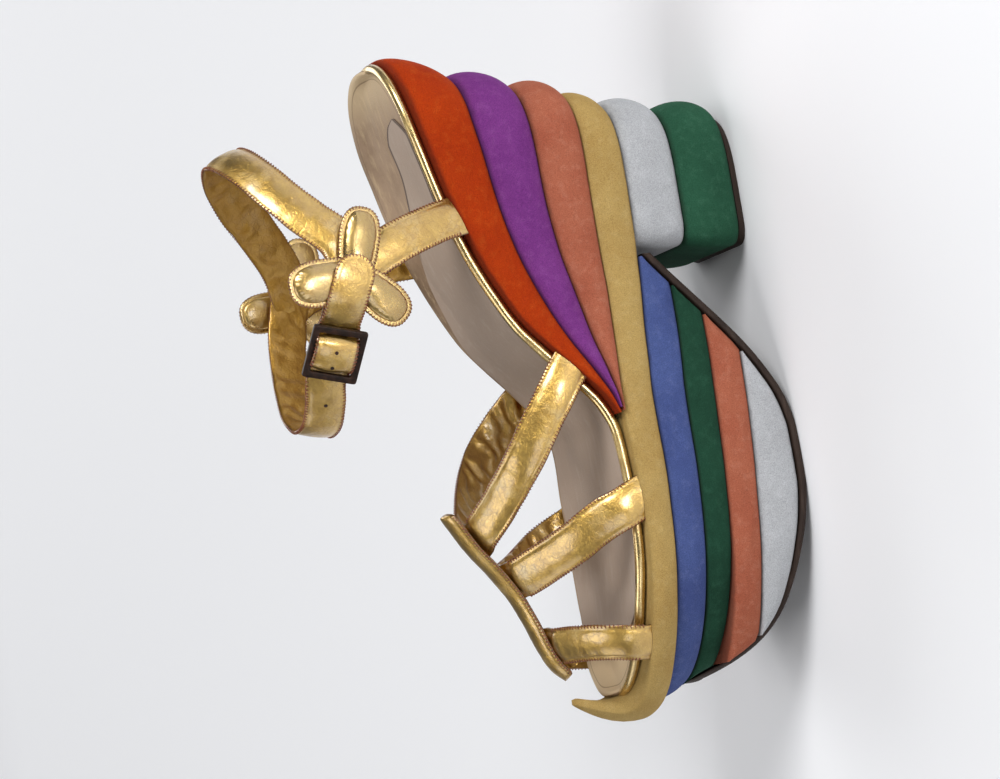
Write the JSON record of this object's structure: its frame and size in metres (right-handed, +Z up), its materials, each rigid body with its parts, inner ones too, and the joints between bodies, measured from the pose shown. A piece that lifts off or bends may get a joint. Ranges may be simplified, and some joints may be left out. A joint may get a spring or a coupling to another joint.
{
  "type": "platform sandal",
  "caption": "Open platform sandal with a stepped sole of coloured suede layers, a high block heel, crossing gold leather straps, a buckled ankle strap and padded petals",
  "frame": {"origin": "on the floor, under the middle of the whole shoe's box", "axes": "+X from the heel to the toe, +Y to the outer side of the foot, +Z up"},
  "size_m": [0.2287, 0.0814, 0.1761],
  "materials": {
    "gold_leather": "metallic gold kid, finely crackled",
    "petal_leather": "metallic gold kid over padding",
    "piping_leather": "metallic gold kid, rolled",
    "sock_leather": "worn smooth leather",
    "orange_suede": "suede",
    "purple_suede": "suede",
    "coral_suede": "suede",
    "tan_suede": "suede",
    "grey_suede": "suede",
    "green_suede": "suede",
    "blue_suede": "suede",
    "brown_leather": "dark smooth sole leather",
    "dark_metal": "dark brown enamel, worn"
  },
  "bodies": {
    "root": {"outsole": "brown_leather", "heel_lift": "brown_leather", "heel_pad_green": "green_suede", "heel_pad_grey": "grey_suede", "forefoot_layer_pale": "grey_suede", "forefoot_layer_coral": "coral_suede", "forefoot_layer_green": "green_suede", "forefoot_layer_blue": "blue_suede", "sole_layer_tan": "tan_suede", "heel_wedge_coral": "coral_suede", "heel_wedge_purple": "purple_suede", "heel_wedge_orange": "orange_suede", "insole": "sock_leather", "insole_piping": "piping_leather", "vamp_straps": "gold_leather", "ankle_straps": "gold_leather", "ornament_lateral": "petal_leather", "ornament_medial": "petal_leather", "buckle_frame": "dark_metal"}
  },
  "joints": []
}
